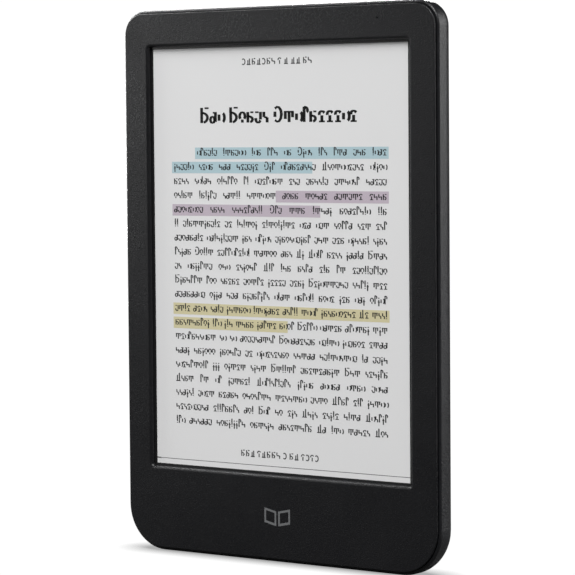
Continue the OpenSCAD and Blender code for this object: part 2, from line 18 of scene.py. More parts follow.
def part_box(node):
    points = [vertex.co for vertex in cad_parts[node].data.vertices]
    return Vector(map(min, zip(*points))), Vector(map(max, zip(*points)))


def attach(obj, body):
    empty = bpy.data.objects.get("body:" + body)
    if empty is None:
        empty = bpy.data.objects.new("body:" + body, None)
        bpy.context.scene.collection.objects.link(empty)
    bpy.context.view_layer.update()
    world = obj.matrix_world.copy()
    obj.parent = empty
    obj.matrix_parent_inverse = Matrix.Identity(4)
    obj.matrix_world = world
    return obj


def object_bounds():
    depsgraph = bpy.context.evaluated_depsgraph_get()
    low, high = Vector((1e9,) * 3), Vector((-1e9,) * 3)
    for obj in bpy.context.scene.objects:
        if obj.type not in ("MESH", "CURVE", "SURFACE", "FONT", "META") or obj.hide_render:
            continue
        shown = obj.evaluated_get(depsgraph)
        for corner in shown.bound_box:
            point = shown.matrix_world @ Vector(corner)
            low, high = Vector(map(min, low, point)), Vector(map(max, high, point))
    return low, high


bl_info = {
    "name": "E-reader dressing",
    "version": (1, 0, 0),
    "blender": (4, 5, 0),
    "location": "3D View > Sidebar > Reader",
    "description": "Finishes, page print and studio stage for the e-reader's frame",
    "category": "Object",
}

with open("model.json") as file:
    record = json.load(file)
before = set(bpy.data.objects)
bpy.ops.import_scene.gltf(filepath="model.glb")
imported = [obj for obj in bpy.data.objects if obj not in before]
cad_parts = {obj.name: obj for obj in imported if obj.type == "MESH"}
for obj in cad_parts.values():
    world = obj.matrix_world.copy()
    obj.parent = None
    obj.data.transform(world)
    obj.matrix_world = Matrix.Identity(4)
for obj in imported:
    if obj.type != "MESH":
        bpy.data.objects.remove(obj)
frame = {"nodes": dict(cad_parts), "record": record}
CAD_LOW, CAD_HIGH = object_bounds()

CASE = "reader"
MM = 0.001

# The picture area lies inside the laminate's edges, on the film's face
LAMINATE_LOW, LAMINATE_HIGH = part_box("epaper_film")
LAMINATE_SIDE = 1.2 * MM
LAMINATE_END = 1.4 * MM
PAGE_LEFT = LAMINATE_LOW.x + LAMINATE_SIDE
PAGE_RIGHT = LAMINATE_HIGH.x - LAMINATE_SIDE
PAGE_TOP = LAMINATE_HIGH.z - LAMINATE_END
PAGE_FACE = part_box("cover_film")[0].y
TONGUE_LOW, TONGUE_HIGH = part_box("port_tongue")

WHITE = (1.0, 1.0, 1.0, 1.0)


# ---------------------------------------------------------------- settings


class PageSettings(PropertyGroup):
    """Layout of the mock page, measured from the picture area's edges."""

    text_width: FloatProperty(
        name="Text width",
        description="Width of the column of text",
        default=76.2 * MM,
        subtype="DISTANCE",
    )
    first_line: FloatProperty(
        name="First line",
        description="Middle of the first line below the picture's top edge",
        default=30.5 * MM,
        subtype="DISTANCE",
    )
    line_pitch: FloatProperty(
        name="Line pitch",
        description="Distance from one line to the next",
        default=4.155 * MM,
        subtype="DISTANCE",
    )
    line_count: IntProperty(
        name="Lines",
        description="How many lines of body text",
        default=20,
        min=1,
        max=24,
    )
    indent: FloatProperty(
        name="Indent",
        description="Indent of the first line",
        default=8.7 * MM,
        subtype="DISTANCE",
    )
    x_height: FloatProperty(
        name="Small mark height",
        description="Height of the body text's low marks",
        default=1.62 * MM,
        subtype="DISTANCE",
    )
    title_height: FloatProperty(
        name="Title mark height",
        description="Height of the title's low marks",
        default=3.05 * MM,
        subtype="DISTANCE",
    )
    title_base: FloatProperty(
        name="Title base",
        description="Foot of the title below the picture's top edge",
        default=21.8 * MM,
        subtype="DISTANCE",
    )
    header_base: FloatProperty(
        name="Header base",
        description="Foot of the header below the picture's top edge",
        default=5.15 * MM,
        subtype="DISTANCE",
    )
    footer_base: FloatProperty(
        name="Footer base",
        description="Foot of the footer below the picture's top edge",
        default=118.6 * MM,
        subtype="DISTANCE",
    )
    progress_line: FloatProperty(
        name="Progress line",
        description="Progress line below the picture's top edge",
        default=121.0 * MM,
        subtype="DISTANCE",
    )
    ink_depth: FloatProperty(
        name="Ink depth",
        description="Thickness that the ink is given above the page",
        default=0.01 * MM,
        subtype="DISTANCE",
    )
    seed: IntProperty(name="Seed", description="Seed of the mock words", default=7)


class FinishSettings(PropertyGroup):
    """Main colours of what shows."""

    case_color: FloatVectorProperty(
        name="Case",
        description="Bezel, cover and button",
        default=(0.0034, 0.0035, 0.0043),
        subtype="COLOR",
        size=3,
    )
    grain_size: FloatProperty(
        name="Grain",
        description="Size of the case's moulded grain",
        default=0.3 * MM,
        precision=5,
        subtype="DISTANCE",
    )
    page_color: FloatVectorProperty(
        name="Page",
        description="The display's pale ground",
        default=(0.72, 0.72, 0.722),
        subtype="COLOR",
        size=3,
    )
    ink_color: FloatVectorProperty(
        name="Ink",
        description="Body text",
        default=(0.022, 0.023, 0.024),
        subtype="COLOR",
        size=3,
    )
    mark_color: FloatVectorProperty(
        name="Mark",
        description="Printed mark on the chin",
        default=(0.135, 0.138, 0.142),
        subtype="COLOR",
        size=3,
    )
    teal: FloatVectorProperty(
        name="Teal wash",
        description="First highlight",
        default=(0.405, 0.545, 0.59),
        subtype="COLOR",
        size=3,
    )
    mauve: FloatVectorProperty(
        name="Mauve wash",
        description="Second highlight",
        default=(0.495, 0.43, 0.49),
        subtype="COLOR",
        size=3,
    )
    straw: FloatVectorProperty(
        name="Straw wash",
        description="Third highlight",
        default=(0.60, 0.55, 0.345),
        subtype="COLOR",
        size=3,
    )


class StageSettings(PropertyGroup):
    """Camera and lights."""

    azimuth: FloatProperty(
        name="Azimuth",
        description="Camera's turn to the reader's right",
        default=math.radians(36.57),
        subtype="ANGLE",
    )
    elevation: FloatProperty(
        name="Elevation",
        description="Camera's angle above the horizon",
        default=math.radians(3.19),
        subtype="ANGLE",
    )
    roll: FloatProperty(
        name="Roll",
        description="Camera's turn about its own axis",
        default=math.radians(-0.453),
        subtype="ANGLE",
    )
    distance: FloatProperty(
        name="Distance",
        description="From the camera to the point it looks at",
        default=0.787,
        subtype="DISTANCE",
    )
    lens: FloatProperty(
        name="Lens",
        description="Focal length in millimetres",
        default=171.82,
    )
    key_power: FloatProperty(
        name="Key light",
        description="Power of the overhead softbox",
        default=93.0,
        unit="POWER",
    )
    left_power: FloatProperty(
        name="Left light",
        description="Power of the small softbox close to the left",
        default=0.39,
        unit="POWER",
    )
    right_power: FloatProperty(
        name="Right light",
        description="Power of the softbox to the right, which lights the side",
        default=2.2,
        unit="POWER",
    )
    back_power: FloatProperty(
        name="Back light",
        description="Power of the softbox behind and to the right",
        default=13.5,
        unit="POWER",
    )
    rear_power: FloatProperty(
        name="Rear light",
        description="Power of the softbox behind and to the left",
        default=64.0,
        unit="POWER",
    )
    edge_power: FloatProperty(
        name="Edge light",
        description="Power of the softbox over the left edge, which catches the rims",
        default=18.0,
        unit="POWER",
    )


# ---------------------------------------------------------------- node helpers


class Net:
    """Adds nodes to a tree and joins them."""

    def __init__(self, tree):
        self.tree = tree

    def add(self, kind, attrs=None, **inputs):
        """A node of that kind; inputs are values or sockets, spaces written as underscores."""
        node = self.tree.nodes.new(kind)
        for key, value in (attrs or {}).items():
            setattr(node, key, value)
        for key, value in inputs.items():
            self.feed(node.inputs[key.replace("_", " ")], value)
        return node

    def feed(self, socket, value):
        """Links a socket, or sets a value, on an input."""
        if isinstance(value, bpy.types.NodeSocket):
            self.tree.links.new(value, socket)
        else:
            socket.default_value = value

    def math(self, operation, a, b=0.0, clamp=False):
        """Result of a maths node on a and b."""
        node = self.tree.nodes.new("ShaderNodeMath")
        node.operation = operation
        node.use_clamp = clamp
        self.feed(node.inputs[0], a)
        self.feed(node.inputs[1], b)
        return node.outputs[0]

    def remap(self, value, low, high, to_low, to_high):
        """Value moved from low..high to to_low..to_high, held at the ends."""
        node = self.add("ShaderNodeMapRange", Value=value)
        for name, number in zip(
            ("From Min", "From Max", "To Min", "To Max"), (low, high, to_low, to_high)
        ):
            self.feed(node.inputs[name], number)
        return node.outputs["Result"]

    def blend(self, share, first, second):
        """Colour between first and second."""
        node = self.tree.nodes.new("ShaderNodeMix")
        node.data_type = "RGBA"
        self.feed(node.inputs[0], share)
        for index, value in ((6, first), (7, second)):
            if not isinstance(value, bpy.types.NodeSocket):
                value = (*value[:3], 1.0)
            self.feed(node.inputs[index], value)
        return node.outputs[2]

    def noise(self, vector, size, detail=3.0, roughness=0.5):
        """Noise with features of that size in metres."""
        node = self.add(
            "ShaderNodeTexNoise", Vector=vector, Detail=detail, Roughness=roughness
        )
        self.feed(node.inputs["Scale"], self.rate(size))
        return node.outputs["Fac"]

    def rate(self, size):
        """Scale of a texture whose features have that size."""
        if isinstance(size, bpy.types.NodeSocket):
            return self.math("DIVIDE", 1.0, size)
        return 1.0 / size

    def split(self, vector):
        """The three parts of a vector."""
        return self.add("ShaderNodeSeparateXYZ", Vector=vector).outputs

    def share(self, value, amount):
        """A mask made weaker."""
        return self.math("MULTIPLY", value, amount)

    def spread(self, value, to_low=0.0, to_high=1.0):
        """A noise's usual span, 0.3 to 0.7, stretched over to_low..to_high."""
        return self.remap(value, 0.3, 0.7, to_low, to_high)


def new_group(name, inputs, outputs):
    """An empty shader node group with named sockets, and its net, inlet and outlet."""
    tree = bpy.data.node_groups.new(name, "ShaderNodeTree")
    for label, kind, value in inputs:
        socket = tree.interface.new_socket(name=label, in_out="INPUT", socket_type=kind)
        if value is not None:
            socket.default_value = value
    for label, kind in outputs:
        tree.interface.new_socket(name=label, in_out="OUTPUT", socket_type=kind)
    net = Net(tree)
    inlet = tree.nodes.new("NodeGroupInput")
    outlet = tree.nodes.new("NodeGroupOutput")
    return tree, net, inlet.outputs, outlet.inputs


FLOAT = "NodeSocketFloat"
VECTOR = "NodeSocketVector"


def moulded_grain():
    """Spark-eroded skin of a moulding: fine pits, and a soft mottle of the surface."""
    tree, net, inlet, outlet = new_group(
        "moulded_grain",
        [
            ("Place", VECTOR, None),
            ("Grain Size", FLOAT, 0.3 * MM),
            ("Mottle Size", FLOAT, 1.2 * MM),
        ],
        [("Height", FLOAT), ("Mottle", FLOAT)],
    )
    pits = net.add("ShaderNodeTexVoronoi", {"feature": "SMOOTH_F1"}, Vector=inlet["Place"])
    net.feed(pits.inputs["Scale"], net.rate(inlet["Grain Size"]))
    fine = net.noise(inlet["Place"], inlet["Grain Size"], 2.0, 0.6)
    net.feed(outlet["Height"], net.math("ADD", pits.outputs["Distance"], fine))
    soft = net.noise(inlet["Place"], inlet["Mottle Size"], 4.0, 0.7)
    net.feed(outlet["Mottle"], net.spread(soft))
    return tree


def edge_rub():
    """Mask that rises towards the outline of the body, broken up as rubbing wears it."""
    tree, net, inlet, outlet = new_group(
        "edge_rub",
        [
            ("Place", VECTOR, None),
            ("Half Width", FLOAT, CAD_HIGH.x),
            ("Height", FLOAT, CAD_HIGH.z),
            ("Reach", FLOAT, 1.0 * MM),
        ],
        [("Mask", FLOAT)],
    )
    axes = net.split(inlet["Place"])
    across = net.math("SUBTRACT", inlet["Half Width"], net.math("ABSOLUTE", axes["X"]))
    above = net.math("SUBTRACT", inlet["Height"], axes["Z"])
    nearest = net.math("MINIMUM", net.math("MINIMUM", across, above), axes["Z"])
    near = net.math("SUBTRACT", 1.0, net.math("DIVIDE", nearest, inlet["Reach"]), clamp=True)
    broken = net.remap(net.noise(inlet["Place"], 2.5 * MM, 5.0, 0.65), 0.42, 0.62, 0.0, 1.0)
    net.feed(outlet["Mask"], net.math("MULTIPLY", near, broken))
    return tree


def handling():
    """Patches where hands have left the surface a little smoother, and specks of dust."""
    tree, net, inlet, outlet = new_group(
        "handling",
        [
            ("Place", VECTOR, None),
            ("Patch Size", FLOAT, 22 * MM),
            ("Speck Size", FLOAT, 0.9 * MM),
            ("Speck Radius", FLOAT, 0.1),
            ("Speck Share", FLOAT, 0.07),
        ],
        [("Patches", FLOAT), ("Specks", FLOAT)],
    )
    patches = net.noise(inlet["Place"], inlet["Patch Size"], 3.0, 0.55)
    net.feed(outlet["Patches"], net.remap(patches, 0.35, 0.68, 0.0, 1.0))
    dots = net.add("ShaderNodeTexVoronoi", Vector=inlet["Place"])
    net.feed(dots.inputs["Scale"], net.rate(inlet["Speck Size"]))
    chosen = net.split(dots.outputs["Color"])["X"]
    small = net.math("LESS_THAN", dots.outputs["Distance"], inlet["Speck Radius"])
    few = net.math("GREATER_THAN", chosen, net.math("SUBTRACT", 1.0, inlet["Speck Share"]))
    net.feed(outlet["Specks"], net.math("MULTIPLY", small, few))
    return tree


def drawn_lines():
    """Long fine lines along one axis, as on brushed or rolled metal."""
    tree, net, inlet, outlet = new_group(
        "drawn_lines",
        [
            ("Place", VECTOR, None),
            ("Line Size", FLOAT, 0.05 * MM),
            ("Stretch", FLOAT, 30.0),
        ],
        [("Lines", FLOAT)],
    )
    axes = net.split(inlet["Place"])
    squeezed = net.add("ShaderNodeCombineXYZ")
    net.feed(squeezed.inputs["X"], net.math("DIVIDE", axes["X"], inlet["Stretch"]))
    net.feed(squeezed.inputs["Y"], axes["Y"])
    net.feed(squeezed.inputs["Z"], axes["Z"])
    lines = net.noise(squeezed.outputs["Vector"], inlet["Line Size"], 2.0, 0.5)
    net.feed(outlet["Lines"], net.spread(lines))
    return tree


def paper_dots():
    """Unevenness of electronic paper: a tone of fine dots, and their height."""
    tree, net, inlet, outlet = new_group(
        "paper_dots",
        [("Place", VECTOR, None), ("Dot Size", FLOAT, 0.13 * MM)],
        [("Tone", FLOAT), ("Height", FLOAT)],
    )
    dots = net.noise(inlet["Place"], inlet["Dot Size"], 2.0, 0.6)
    net.feed(outlet["Tone"], net.remap(dots, 0.35, 0.65, 0.0, 1.0))
    net.feed(outlet["Height"], dots)
    return tree


def foam_cells():
    """Closed cells: a tone from each cell's middle to its wall, and the height."""
    tree, net, inlet, outlet = new_group(
        "foam_cells",
        [("Place", VECTOR, None), ("Cell Size", FLOAT, 0.22 * MM)],
        [("Wall", FLOAT), ("Height", FLOAT)],
    )
    cells = net.add("ShaderNodeTexVoronoi", Vector=inlet["Place"])
    net.feed(cells.inputs["Scale"], net.rate(inlet["Cell Size"]))
    net.feed(outlet["Wall"], net.remap(cells.outputs["Distance"], 0.0, 0.8, 0.0, 1.0))
    net.feed(outlet["Height"], cells.outputs["Distance"])
    return tree


def flow_marks():
    """Slow waves that a melt leaves in a clear moulding."""
    tree, net, inlet, outlet = new_group(
        "flow_marks",
        [("Place", VECTOR, None), ("Flow Size", FLOAT, 9 * MM)],
        [("Tone", FLOAT), ("Height", FLOAT)],
    )
    flow = net.noise(inlet["Place"], inlet["Flow Size"], 2.0, 0.5)
    net.feed(outlet["Tone"], net.spread(flow))
    net.feed(outlet["Height"], flow)
    return tree


def copper_lines():
    """Lines of copper under a film, and the film's ripple."""
    tree, net, inlet, outlet = new_group(
        "copper_lines",
        [
            ("Place", VECTOR, None),
            ("Line Pitch", FLOAT, 0.5 * MM),
            ("Ripple Size", FLOAT, 3 * MM),
        ],
        [("Lines", FLOAT), ("Ripple", FLOAT)],
    )
    across = net.math("DIVIDE", net.split(inlet["Place"])["X"], inlet["Line Pitch"])
    wave = net.math("PINGPONG", across, 0.5)
    net.feed(outlet["Lines"], net.remap(wave, 0.2, 0.3, 0.0, 1.0))
    net.feed(outlet["Ripple"], net.spread(net.noise(inlet["Place"], inlet["Ripple Size"], 2.0)))
    return tree


GROUP_MAKERS = (
    moulded_grain,
    edge_rub,
    handling,
    drawn_lines,
    paper_dots,
    foam_cells,
    flow_marks,
    copper_lines,
)
GROUPS = {}


def build_groups():
    """Makes each shared node group once."""
    for maker in GROUP_MAKERS:
        GROUPS[maker.__name__] = maker()


def use_group(net, name, place, **inputs):
    """Places a shared group in a material's tree with its own values."""
    node = net.tree.nodes.new("ShaderNodeGroup")
    node.node_tree = GROUPS[name]
    net.feed(node.inputs["Place"], place)
    for key, value in inputs.items():
        net.feed(node.inputs[key.replace("_", " ")], value)
    return node.outputs


def fresh_net(owner):
    """The emptied node tree of a material or a world."""
    owner.use_nodes = True
    owner.node_tree.nodes.clear()
    return Net(owner.node_tree)


def start_material(name, metallic=0.0):
    """A material with a Principled shader, its net and the object coordinates."""
    material = bpy.data.materials.new(name)
    net = fresh_net(material)
    shader = net.add("ShaderNodeBsdfPrincipled", Metallic=metallic)
    net.add("ShaderNodeOutputMaterial", Surface=shader.outputs["BSDF"])
    place = net.add("ShaderNodeTexCoord").outputs["Object"]
    return material, net, shader.inputs, place


def paint(net, sockets, color, rough, height, depth):
    """Feeds the shader's colour and roughness, and its normal from a height."""
    net.feed(sockets["Base Color"], color)
    net.feed(sockets["Roughness"], rough)
    relief = net.add("ShaderNodeBump", Height=height, Distance=depth, Strength=1.0)
    net.feed(sockets["Normal"], relief.outputs["Normal"])


def shade(color, factor):
    """A colour made darker or lighter."""
    return tuple(min(1.0, c * factor) for c in color[:3])


# ---------------------------------------------------------------- finishes that show


DUST_COLOR = (0.09, 0.09, 0.09)
GILT_COLOR = (0.55, 0.42, 0.18)
CONTACT_COLOR = (0.85, 0.62, 0.25)
MATT_LEVEL = 0.25
CASE_LEVEL = 0.36


def moulded_plastic(name, color, grain, low=0.42, high=0.51, rub=0.0):
    """Black moulded plastic: grain, mottle, handled patches, rubbed edges, dust."""
    mottle_size = 1.1 * MM
    rub_reach = 1.1 * MM
    grain_depth = 0.05 * MM
    tone_size = 0.5 * MM
    tone_share = 0.6
    gloss_swing = 0.18
    dust_share = 0.5
    material, net, sockets, place = start_material(name)
    skin = use_group(net, "moulded_grain", place, Grain_Size=grain, Mottle_Size=mottle_size)
    hands = use_group(net, "handling", place)
    tone = net.remap(net.noise(place, tone_size, 3.0, 0.75), 0.38, 0.62, 0.0, 1.0)
    toned = net.blend(skin["Mottle"], shade(color, 0.6), shade(color, 1.2))
    toned = net.blend(net.share(tone, tone_share), toned, shade(color, 2.2))
    toned = net.blend(net.share(hands["Specks"], dust_share), toned, DUST_COLOR)
    if rub:
        worn = use_group(net, "edge_rub", place, Reach=rub_reach)
        toned = net.blend(net.share(worn["Mask"], rub), toned, shade(color, 4.0))
    rough = net.remap(hands["Patches"], 0.0, 1.0, low, high)
    rough = net.math("SUBTRACT", rough, net.share(tone, gloss_swing))
    paint(net, sockets, toned, rough, skin["Height"], grain_depth)
    sockets["Specular IOR Level"].default_value = CASE_LEVEL
    return material


def page_film(name, color):
    """Matt film over the page: a very fine particle texture and faint cloudiness."""
    particle_size = 0.16 * MM
    cloud_size = 14 * MM
    cloud_share = 0.3
    material, net, sockets, place = start_material(name)
    particles = net.noise(place, particle_size, 2.0, 0.7)
    clouds = net.noise(place, cloud_size, 2.0, 0.5)
    grain = net.blend(net.spread(particles), shade(color, 0.965), shade(color, 1.03))
    cloudy = net.blend(net.spread(clouds, 0.0, cloud_share), grain, shade(color, 0.985))
    rough = net.spread(particles, 0.62, 0.74)
    paint(net, sockets, cloudy, rough, particles, 0.004 * MM)
    sockets["Specular IOR Level"].default_value = MATT_LEVEL
    return material


def page_print(name, color, spread=0.2):
    """Ink or wash on the page, a little uneven like electronic paper's dots."""
    material, net, sockets, place = start_material(name)
    dots = use_group(net, "paper_dots", place)
    toned = net.blend(dots["Tone"], shade(color, 1 - spread), shade(color, 1 + spread))
    rough = net.spread(dots["Height"], 0.62, 0.76)
    paint(net, sockets, toned, rough, dots["Height"], 0.003 * MM)
    sockets["Specular IOR Level"].default_value = MATT_LEVEL
    return material


def border_print(name, color):
    """Satin black border round the picture area."""
    material, net, sockets, place = start_material(name)
    skin = use_group(net, "moulded_grain", place, Grain_Size=0.2 * MM, Mottle_Size=0.8 * MM)
    toned = net.blend(skin["Mottle"], shade(color, 0.8), shade(color, 1.2))
    rough = net.remap(skin["Mottle"], 0.0, 1.0, 0.42, 0.5)
    paint(net, sockets, toned, rough, skin["Height"], 0.01 * MM)
    return material


def printed_mark(name, color):
    """Pad print on the bezel: it takes the grain under it and has tiny gaps."""
    gap_size = 0.12 * MM
    material, net, sockets, place = start_material(name)
    skin = use_group(net, "moulded_grain", place, Grain_Size=0.28 * MM, Mottle_Size=0.5 * MM)
    gaps = net.remap(net.noise(place, gap_size, 3.0, 0.7), 0.62, 0.72, 0.0, 0.6)
    toned = net.blend(skin["Mottle"], shade(color, 0.85), shade(color, 1.12))
    toned = net.blend(gaps, toned, shade(color, 0.2))
    rough = net.remap(skin["Mottle"], 0.0, 1.0, 0.42, 0.55)
    paint(net, sockets, toned, rough, skin["Height"], 0.01 * MM)
    return material


# ---------------------------------------------------------------- other finishes


def foam(name, color):
    """Closed-cell foam or rubber with tiny cells."""
    material, net, sockets, place = start_material(name)
    cells = use_group(net, "foam_cells", place)
    toned = net.blend(cells["Wall"], shade(color, 0.6), shade(color, 1.5))
    rough = net.remap(cells["Wall"], 0.0, 1.0, 0.7, 0.9)
    paint(net, sockets, toned, rough, cells["Height"], 0.03 * MM)
    return material


def metal(name, color, low=0.22, high=0.4, stretch=30.0):
    """Rolled, plated or cast metal with fine lines and dull patches."""
    dull_share = 0.35
    material, net, sockets, place = start_material(name, metallic=1.0)
    drawn = use_group(net, "drawn_lines", place, Stretch=stretch)
    hands = use_group(net, "handling", place, Patch_Size=4 * MM)
    lined = net.blend(drawn["Lines"], shade(color, 0.86), shade(color, 1.08))
    dulled = net.share(hands["Patches"], dull_share)
    toned = net.blend(dulled, lined, shade(color, 0.7))
    rough = net.remap(hands["Patches"], 0.0, 1.0, low, high)
    paint(net, sockets, toned, rough, drawn["Lines"], 0.004 * MM)
    return material


def small_moulding(name, color, gloss=0.4):
    """Plain small moulding, chip resin or jacket."""
    material, net, sockets, place = start_material(name)
    skin = use_group(net, "moulded_grain", place, Grain_Size=0.12 * MM, Mottle_Size=0.7 * MM)
    toned = net.blend(skin["Mottle"], shade(color, 0.85), shade(color, 1.15))
    rough = net.remap(skin["Mottle"], 0.0, 1.0, gloss - 0.06, gloss + 0.08)
    paint(net, sockets, toned, rough, skin["Height"], 0.005 * MM)
    return material


def clear_sheet(name, color, alpha):
    """Clear moulding with faint flow marks."""
    material, net, sockets, place = start_material(name)
    flow = use_group(net, "flow_marks", place)
    toned = net.blend(flow["Tone"], shade(color, 0.94), color)
    rough = net.remap(flow["Tone"], 0.0, 1.0, 0.08, 0.16)
    paint(net, sockets, toned, rough, flow["Height"], 0.01 * MM)
    sockets["Alpha"].default_value = alpha
    return material


def circuit_laminate(name, color):
    """Solder mask over copper: tracks as raised lines, with round pads."""
    track_cell = 2.2 * MM
    tracks_per_cell = 6.0
    pad_cell = 1.7 * MM
    pad_radius = 0.13
    material, net, sockets, place = start_material(name)
    tracks = net.add(
        "ShaderNodeTexVoronoi",
        {"distance": "CHEBYCHEV"},
        Vector=place,
        Scale=net.rate(track_cell),
    )
    rings = net.math("MULTIPLY", tracks.outputs["Distance"], tracks_per_cell)
    raised = net.remap(net.math("PINGPONG", rings, 0.5), 0.26, 0.34, 0.0, 1.0)
    pads = net.add("ShaderNodeTexVoronoi", Vector=place, Scale=net.rate(pad_cell))
    pad = net.math("LESS_THAN", pads.outputs["Distance"], pad_radius)
    masked = net.blend(raised, shade(color, 0.75), shade(color, 1.6))
    toned = net.blend(pad, masked, GILT_COLOR)
    rough = net.remap(raised, 0.0, 1.0, 0.28, 0.4)
    paint(net, sockets, toned, rough, raised, 0.02 * MM)
    return material


def flat_cable(name, color):
    """Amber film with copper lines showing through."""
    material, net, sockets, place = start_material(name)
    copper = use_group(net, "copper_lines", place)
    toned = net.blend(copper["Lines"], shade(color, 0.6), shade(color, 1.35))
    rough = net.remap(copper["Ripple"], 0.0, 1.0, 0.24, 0.38)
    paint(net, sockets, toned, rough, copper["Lines"], 0.01 * MM)
    return material


def pouch_foil(name, color):
    """Laminated foil of the cell: soft creases and a dull sheen."""
    crease_size = 6 * MM
    material, net, sockets, place = start_material(name, metallic=0.8)
    creases = net.noise(place, crease_size, 5.0, 0.65)
    toned = net.blend(creases, shade(color, 0.8), shade(color, 1.1))
    paint(net, sockets, toned, net.spread(creases, 0.3, 0.48), creases, 0.15 * MM)
    return material


def finish_table(colors):
    """Finish of every record slot: its maker, its colour and what else that maker takes."""
    case = tuple(colors.case_color)
    cover = shade(case, 1.15)
    grain = colors.grain_size
    return {
        "bezel_plastic": (moulded_plastic, case, {"grain": grain, "rub": 0.15}),
        "cover_plastic": (moulded_plastic, cover, {"grain": 0.32 * MM, "rub": 0.25}),
        "button_plastic": (moulded_plastic, case, {"grain": grain, "low": 0.36, "high": 0.46}),
        "printed_mark": (printed_mark, tuple(colors.mark_color), {}),
        "display_film": (page_film, tuple(colors.page_color), {}),
        "black_print": (border_print, (0.006, 0.006, 0.0065), {}),
        "light_pipe": (clear_sheet, (0.02, 0.021, 0.022), {"alpha": 0.9}),
        "gasket_foam": (foam, (0.012, 0.012, 0.013), {}),
        "seal_rubber": (foam, (0.05, 0.05, 0.055), {}),
        "light_guide": (clear_sheet, (0.85, 0.88, 0.90), {"alpha": 0.4}),
        "lamp_strip": (small_moulding, (0.80, 0.72, 0.35), {"gloss": 0.3}),
        "paper_laminate": (page_print, (0.66, 0.67, 0.65), {"spread": 0.04}),
        "backplane_glass": (clear_sheet, (0.30, 0.36, 0.32), {"alpha": 0.92}),
        "midframe_alloy": (metal, (0.42, 0.43, 0.45), {"low": 0.4, "high": 0.55, "stretch": 1.0}),
        "flat_cable": (flat_cable, (0.46, 0.23, 0.06), {}),
        "antenna_film": (flat_cable, (0.50, 0.30, 0.10), {}),
        "socket_plastic": (small_moulding, (0.78, 0.75, 0.66), {}),
        "latch_plastic": (small_moulding, (0.05, 0.04, 0.035), {}),
        "board_laminate": (circuit_laminate, (0.015, 0.10, 0.05), {}),
        "plated_steel": (metal, (0.62, 0.63, 0.64), {}),
        "screw_steel": (metal, (0.50, 0.51, 0.53), {"stretch": 4.0}),
        "chip_resin": (small_moulding, (0.018, 0.019, 0.020), {"gloss": 0.5}),
        "coil_ferrite": (small_moulding, (0.10, 0.10, 0.11), {"gloss": 0.55}),
        "capacitor_ceramic": (small_moulding, (0.45, 0.34, 0.22), {"gloss": 0.3}),
        "cable_jacket": (small_moulding, (0.02, 0.02, 0.022), {}),
        "lead_jacket": (small_moulding, (0.45, 0.02, 0.015), {"gloss": 0.3}),
        "led_lens": (small_moulding, (0.85, 0.84, 0.78), {"gloss": 0.2}),
        "tongue_plastic": (small_moulding, (0.012, 0.012, 0.013), {"gloss": 0.45}),
        "mounting_tape": (small_moulding, (0.80, 0.80, 0.77), {"gloss": 0.45}),
        "cell_foil": (pouch_foil, (0.55, 0.57, 0.60), {}),
    }


def dress(slots):
    """Gives the frame's own nodes in these slots their procedural materials."""
    table = finish_table(bpy.context.scene.reader_finish)
    for slot in slots:
        maker, color, extra = table[slot]
        material = maker(slot, color, **extra)
        for row in frame["record"]["subparts"]:
            if row["material_slot"] == slot:
                data = frame["nodes"][row["node"]].data
                data.materials.clear()
                data.materials.append(material)


# ---------------------------------------------------------------- mesh helpers


def add_object(name, data):
    """An object with that data, linked to the scene."""
    thing = bpy.data.objects.new(name, data)
    bpy.context.scene.collection.objects.link(thing)
    return thing


def add_piece(name, mesh, material):
    """A piece that rides on the case, with a material of its own."""
    mesh.materials.append(material)
    piece = add_object(name, mesh)
    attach(piece, CASE)


class Plates:
    """Collects flat closed plates that lie on the page, as one mesh."""

    def __init__(self, low, high):
        self.depths = (low, high)
        self.vertices = []
        self.faces = []

    def ribbon(self, lefts, rights):
        """A closed strip between two rows of points in the page's plane."""
        start = len(self.vertices)
        count = len(lefts)
        for depth in self.depths:
            for x, z in lefts + rights:
                self.vertices.append((x, PAGE_FACE - depth, z))
        back, front = start, start + 2 * count
        for k in range(count - 1):
            a, b, c, d = k, k + 1, count + k + 1, count + k
            self.faces.append((front + a, front + b, front + c, front + d))
            self.faces.append((back + d, back + c, back + b, back + a))
            self.faces.append((back + a, back + b, front + b, front + a))
            self.faces.append((front + d, front + c, back + c, back + d))
        last = count - 1
        self.faces.append((back + count, back, front, front + count))
        self.faces.append((back + last, back + count + last, front + count + last, front + last))

    def box(self, left, bottom, right, top):
        """A closed rectangle."""
        self.ribbon([(left, top), (right, top)], [(left, bottom), (right, bottom)])

    def stroke(self, points, thin, thick):
        """A pen stroke: upright stretches are thick, level ones thin."""
        lefts, rights = [], []
        for k, (x, z) in enumerate(points):
            before = Vector(points[max(k - 1, 0)])
            after = Vector(points[min(k + 1, len(points) - 1)])
            along = (after - before).normalized()
            half = (thin + (thick - thin) * abs(along.y)) / 2
            lefts.append((x - along.y * half, z + along.x * half))
            rights.append((x + along.y * half, z - along.x * half))
        self.ribbon(lefts, rights)

    def add(self, name, material, slot):
        """Adds the plates to the scene as one piece."""
        mesh = bpy.data.meshes.new(name)
        mesh.from_pydata(self.vertices, [], self.faces)
        mesh.validate()
        add_piece(name, mesh, material)


# ---------------------------------------------------------------- mock words

